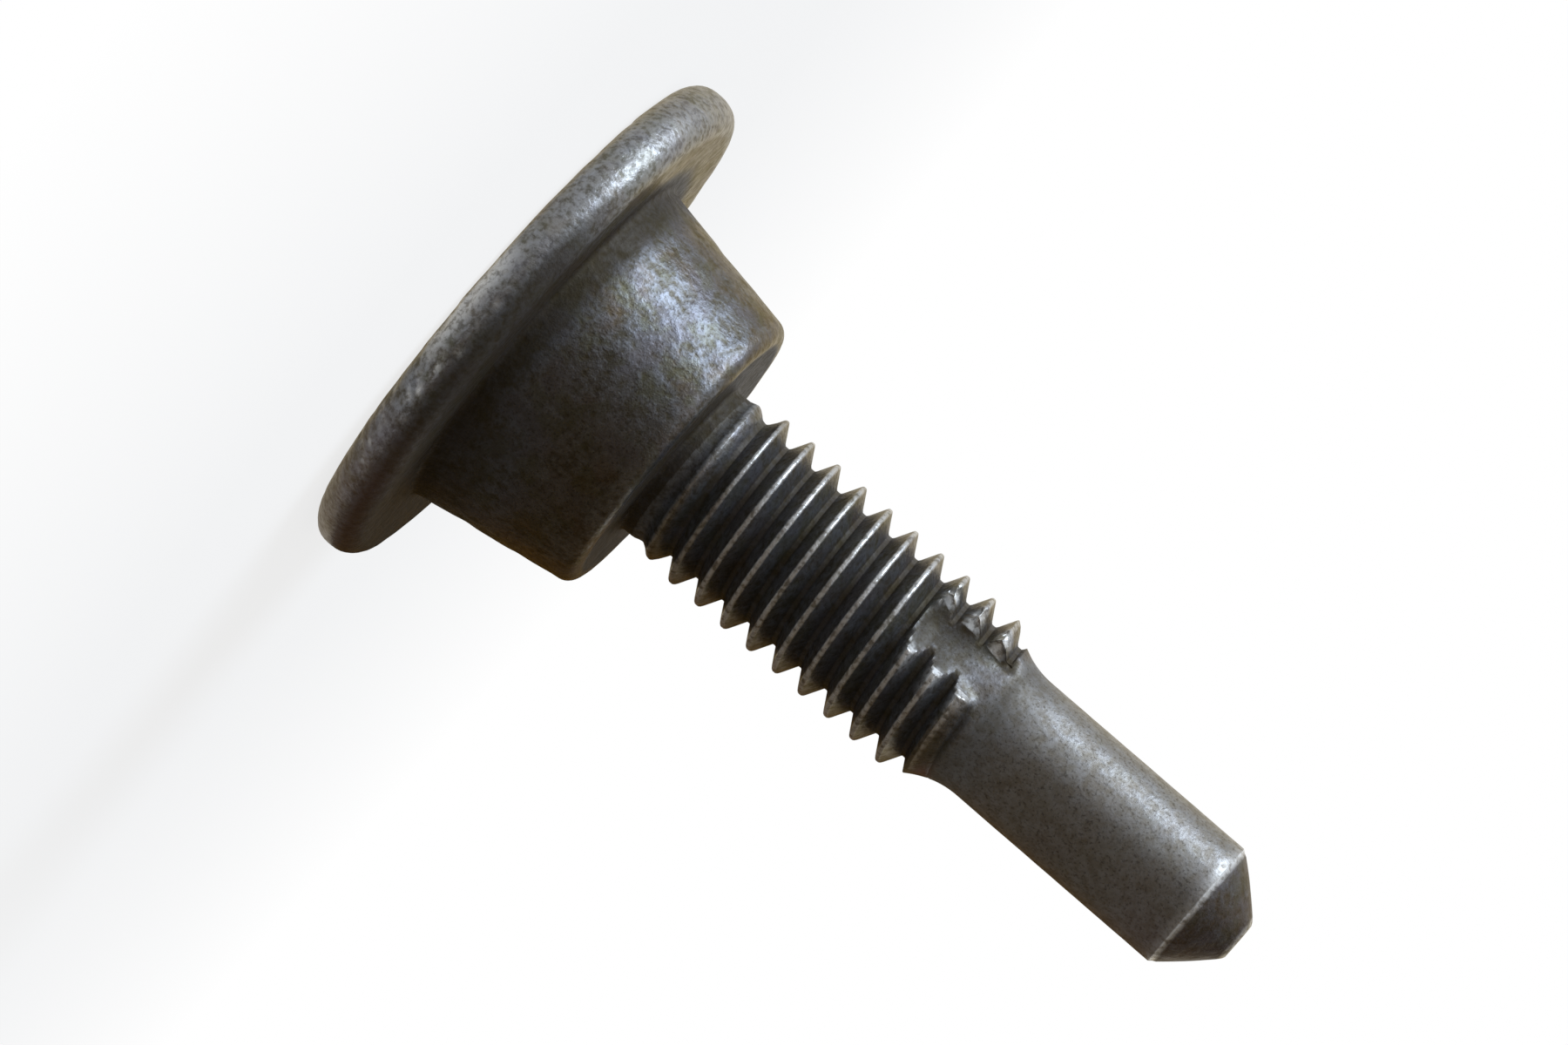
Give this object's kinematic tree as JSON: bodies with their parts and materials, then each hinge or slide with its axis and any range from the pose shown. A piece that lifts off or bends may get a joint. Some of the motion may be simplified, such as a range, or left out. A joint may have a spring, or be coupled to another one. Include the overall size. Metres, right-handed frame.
{
  "type": "flanged shoulder screw",
  "caption": "Flanged shoulder screw: round flange head with a lobed drive socket, tapered shoulder, right-hand metric thread with a cutting flute, and a long plain pilot point.",
  "frame": {"origin": "centre of the flange head's outer face, on which the screw stands", "axes": "+Z along the screw's axis from the head to the point, -Y through the middle of the flute"},
  "size_m": [0.0174, 0.0174, 0.0286],
  "materials": {
    "phosphated_steel": "dark grey phosphate coat, satin, worn bright on crests and edges"
  },
  "bodies": {
    "root": {"screw": "phosphated_steel"}
  },
  "joints": []
}
